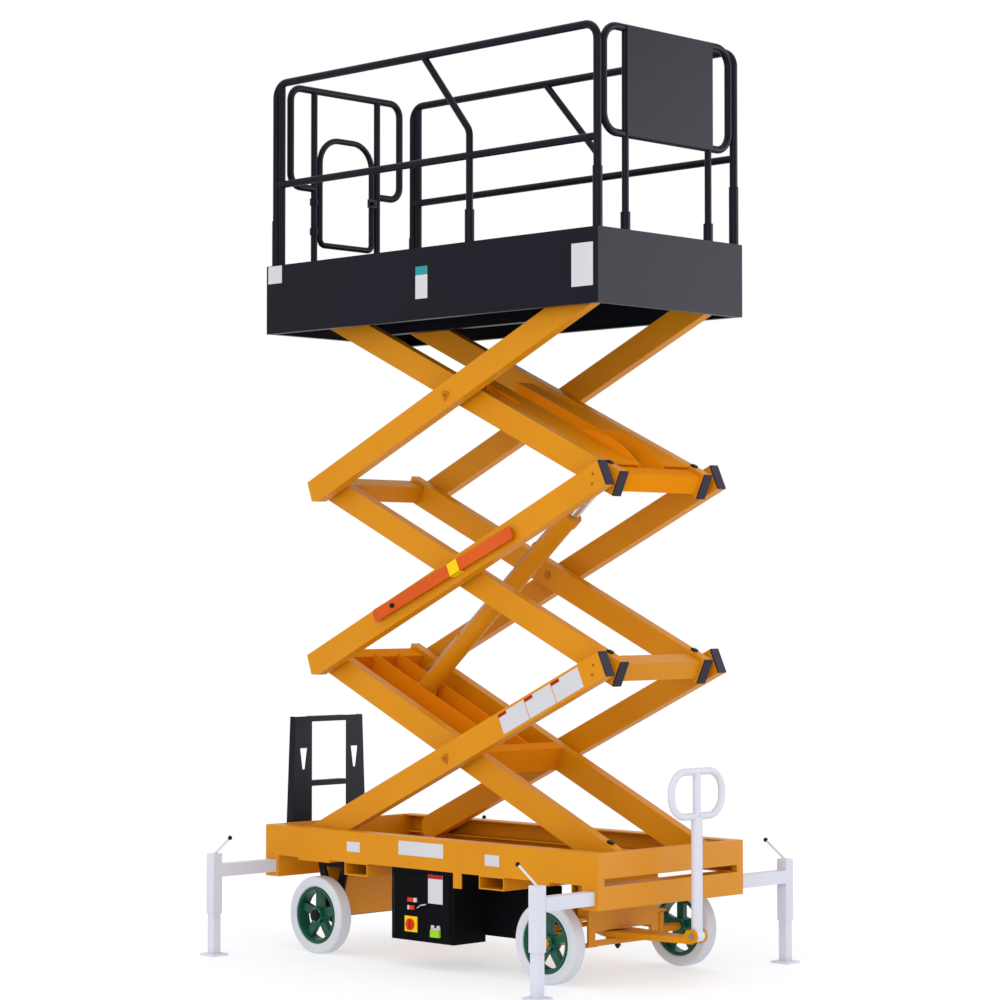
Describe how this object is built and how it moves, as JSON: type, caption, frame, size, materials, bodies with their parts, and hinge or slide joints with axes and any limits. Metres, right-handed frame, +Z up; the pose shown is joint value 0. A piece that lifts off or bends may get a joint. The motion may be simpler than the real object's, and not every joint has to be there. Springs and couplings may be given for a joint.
{
  "type": "push-around scissor lift",
  "caption": "Push-around scissor lift with a three-stage scissor, guarded platform, slide-out outriggers, steered tow tongue and lift cylinder, standing half raised.",
  "frame": {"origin": "on the ground under the middle of the base", "axes": "+X towards the tow handle, +Y to the left of a person facing the tow handle's way, +Z up"},
  "size_m": [2.376, 1.71, 4.0322],
  "materials": {
    "orange_paint": "satin",
    "black_paint": "satin",
    "white_paint": "satin",
    "green_paint": "satin",
    "white_tyre": "matte",
    "black_rubber": "matte",
    "bare_steel": "satin",
    "chromed_steel": "gloss",
    "red_paint": "satin"
  },
  "bodies": {
    "chassis": {"side_beams": "orange_paint", "end_beams": "orange_paint", "outrigger_tubes": "orange_paint", "fork_pockets": "orange_paint", "pivot_brackets": "orange_paint", "front_axle_box": "orange_paint", "rear_axle_box": "orange_paint", "rear_hangers": "black_paint", "power_cabinet": "black_paint", "pump_unit": "black_paint", "ladder": "black_paint", "cabinet_bracket": "orange_paint"},
    "tow_tongue_body": {"tow_tongue": "orange_paint"},
    "tow_handle_body": {"tow_handle": "white_paint"},
    "tie_rod_body": {"tie_rod": "orange_paint"},
    "knuckle_left": {"steering_knuckle_left": "orange_paint"},
    "knuckle_right": {"steering_knuckle_right": "orange_paint"},
    "inner_frame_1": {"inner_arms_1": "orange_paint", "inner_cross_1": "orange_paint"},
    "outer_frame_1": {"outer_arms_1": "orange_paint", "outer_caps_1": "black_rubber", "base_rollers": "bare_steel"},
    "inner_frame_2": {"inner_arms_2": "orange_paint", "inner_cross_2": "orange_paint", "inner_caps_2": "black_rubber"},
    "outer_frame_2": {"outer_arms_2": "orange_paint", "outer_caps_2": "black_rubber", "safety_prop": "red_paint"},
    "inner_frame_3": {"inner_arms_3": "orange_paint", "inner_cross_3": "orange_paint", "inner_caps_3": "black_rubber", "deck_rollers": "bare_steel"},
    "outer_frame_3": {"outer_arms_3": "orange_paint"},
    "platform": {"deck": "black_paint", "skirt": "black_paint", "deck_tracks": "black_paint", "side_guard_rails": "black_paint", "front_guard_rail": "black_paint", "front_sheet": "black_paint", "rear_guard_rail": "black_paint"},
    "gate_body": {"gate": "black_paint"},
    "barrel": {"cylinder_barrel": "orange_paint"},
    "rod": {"cylinder_rod": "chromed_steel"},
    "wheel_front_left": {"wheel_centre_front_left": "green_paint", "tyre_front_left": "white_tyre"},
    "outrigger_front_left": {"outrigger_arm_front_left": "white_paint"},
    "jack_front_left": {"jack_leg_front_left": "white_paint"},
    "wheel_front_right": {"wheel_centre_front_right": "green_paint", "tyre_front_right": "white_tyre"},
    "outrigger_front_right": {"outrigger_arm_front_right": "white_paint"},
    "jack_front_right": {"jack_leg_front_right": "white_paint"},
    "wheel_rear_left": {"wheel_centre_rear_left": "green_paint", "tyre_rear_left": "white_tyre"},
    "outrigger_rear_left": {"outrigger_arm_rear_left": "white_paint"},
    "jack_rear_left": {"jack_leg_rear_left": "white_paint"},
    "wheel_rear_right": {"wheel_centre_rear_right": "green_paint", "tyre_rear_right": "white_tyre"},
    "outrigger_rear_right": {"outrigger_arm_rear_right": "white_paint"},
    "jack_rear_right": {"jack_leg_rear_right": "white_paint"}
  },
  "joints": [
    {"name": "scissor_lift", "type": "hinge", "parent": "chassis", "child": "inner_frame_1", "pos_m": [0.947, 0, 0.5265], "axis": [0, 1, 0], "range_deg": [-19.74, 35.26]},
    {"name": "cross_pivot_1", "type": "hinge", "parent": "inner_frame_1", "child": "outer_frame_1", "pos_m": [0.08192, 0, 0.92512], "axis": [0, 1, 0], "range_deg": [-70.62, 39.58]},
    {"name": "end_pivot_1", "type": "hinge", "parent": "outer_frame_1", "child": "inner_frame_2", "pos_m": [0.947, 0, 1.32374], "axis": [0, 1, 0], "range_deg": [-39.58, 70.62]},
    {"name": "cross_pivot_2", "type": "hinge", "parent": "inner_frame_2", "child": "outer_frame_2", "pos_m": [0.08192, 0, 1.72237], "axis": [0, 1, 0], "range_deg": [-70.62, 39.58]},
    {"name": "end_pivot_2", "type": "hinge", "parent": "outer_frame_2", "child": "inner_frame_3", "pos_m": [0.947, 0, 2.12099], "axis": [0, 1, 0], "range_deg": [-39.58, 70.62]},
    {"name": "cross_pivot_3", "type": "hinge", "parent": "inner_frame_3", "child": "outer_frame_3", "pos_m": [0.08192, 0, 2.51961], "axis": [0, 1, 0], "range_deg": [-70.62, 39.58]},
    {"name": "platform_pivot", "type": "hinge", "parent": "outer_frame_3", "child": "platform", "pos_m": [0.947, 0, 2.91824], "axis": [0, 1, 0], "range_deg": [-19.84, 35.36]},
    {"name": "cylinder_trunnion", "type": "hinge", "parent": "inner_frame_1", "child": "barrel", "pos_m": [-0.47981, 0, 1.18396], "axis": [0, 1, 0], "range_deg": [-78.73, 44.12]},
    {"name": "cylinder_stroke", "type": "slide", "parent": "barrel", "child": "rod", "axis": [0.764, 0, 0.6452], "range_m": [-0.3042, 0.5426]},
    {"name": "tongue_steer", "type": "hinge", "parent": "chassis", "child": "tow_tongue_body", "pos_m": [0.732, 0, 0.1845], "axis": [0, 0, 1], "range_deg": [-30, 30]},
    {"name": "knuckle_steer_left", "type": "hinge", "parent": "chassis", "child": "knuckle_left", "pos_m": [0.732, 0.262, 0.2], "axis": [0, 0, 1], "range_deg": [-30.1, 30.1]},
    {"name": "knuckle_steer_right", "type": "hinge", "parent": "chassis", "child": "knuckle_right", "pos_m": [0.732, -0.262, 0.2], "axis": [0, 0, 1], "range_deg": [-30.1, 30.1]},
    {"name": "tie_rod_pivot", "type": "hinge", "parent": "tow_tongue_body", "child": "tie_rod_body", "pos_m": [0.612, 0, 0.213], "axis": [0, 0, 1], "range_deg": [-30.1, 30.1]},
    {"name": "handle_pitch", "type": "hinge", "parent": "tow_tongue_body", "child": "tow_handle_body", "pos_m": [1.181, 0, 0.205], "axis": [0, -1, 0], "range_deg": [-85, 0]},
    {"name": "wheel_spin_front_left", "type": "hinge", "parent": "knuckle_left", "child": "wheel_front_left", "pos_m": [0.732, 0.421, 0.175], "axis": [0, 1, 0], "continuous": true},
    {"name": "wheel_spin_front_right", "type": "hinge", "parent": "knuckle_right", "child": "wheel_front_right", "pos_m": [0.732, -0.421, 0.175], "axis": [0, 1, 0], "continuous": true},
    {"name": "wheel_spin_rear_left", "type": "hinge", "parent": "chassis", "child": "wheel_rear_left", "pos_m": [-0.713, 0.421, 0.175], "axis": [0, 1, 0], "continuous": true},
    {"name": "wheel_spin_rear_right", "type": "hinge", "parent": "chassis", "child": "wheel_rear_right", "pos_m": [-0.713, -0.421, 0.175], "axis": [0, 1, 0], "continuous": true},
    {"name": "outrigger_slide_front_left", "type": "slide", "parent": "chassis", "child": "outrigger_front_left", "axis": [0, 1, 0], "range_m": [-0.3, 0]},
    {"name": "jack_slide_front_left", "type": "slide", "parent": "outrigger_front_left", "child": "jack_front_left", "axis": [0, 0, -1], "range_m": [-0.16, 0]},
    {"name": "outrigger_slide_front_right", "type": "slide", "parent": "chassis", "child": "outrigger_front_right", "axis": [0, -1, 0], "range_m": [-0.267, 0.033]},
    {"name": "jack_slide_front_right", "type": "slide", "parent": "outrigger_front_right", "child": "jack_front_right", "axis": [0, 0, -1], "range_m": [-0.16, 0]},
    {"name": "outrigger_slide_rear_left", "type": "slide", "parent": "chassis", "child": "outrigger_rear_left", "axis": [0, 1, 0], "range_m": [-0.3, 0]},
    {"name": "jack_slide_rear_left", "type": "slide", "parent": "outrigger_rear_left", "child": "jack_rear_left", "axis": [0, 0, -1], "range_m": [-0.16, 0]},
    {"name": "outrigger_slide_rear_right", "type": "slide", "parent": "chassis", "child": "outrigger_rear_right", "axis": [0, -1, 0], "range_m": [-0.3, 0]},
    {"name": "jack_slide_rear_right", "type": "slide", "parent": "outrigger_rear_right", "child": "jack_rear_right", "axis": [0, 0, -1], "range_m": [-0.16, 0]},
    {"name": "gate_swing", "type": "hinge", "parent": "platform", "child": "gate_body", "pos_m": [-1.016, -0.202, 3.5], "axis": [0, 0, -1], "range_deg": [0, 90]}
  ],
  "couplings": [
    {"joint": "cross_pivot_1", "follows": "scissor_lift", "ratio": -2},
    {"joint": "end_pivot_1", "follows": "scissor_lift", "ratio": 2},
    {"joint": "cross_pivot_2", "follows": "scissor_lift", "ratio": -2},
    {"joint": "end_pivot_2", "follows": "scissor_lift", "ratio": 2},
    {"joint": "cross_pivot_3", "follows": "scissor_lift", "ratio": -2},
    {"joint": "platform_pivot", "follows": "scissor_lift", "ratio": 1},
    {"joint": "cylinder_trunnion", "follows": "scissor_lift", "ratio": -2.23},
    {"joint": "cylinder_stroke", "follows": "scissor_lift", "m_per_rad": 0.88},
    {"joint": "knuckle_steer_left", "follows": "tongue_steer", "ratio": 1},
    {"joint": "knuckle_steer_right", "follows": "tongue_steer", "ratio": 1},
    {"joint": "tie_rod_pivot", "follows": "tongue_steer", "ratio": -1}
  ]
}
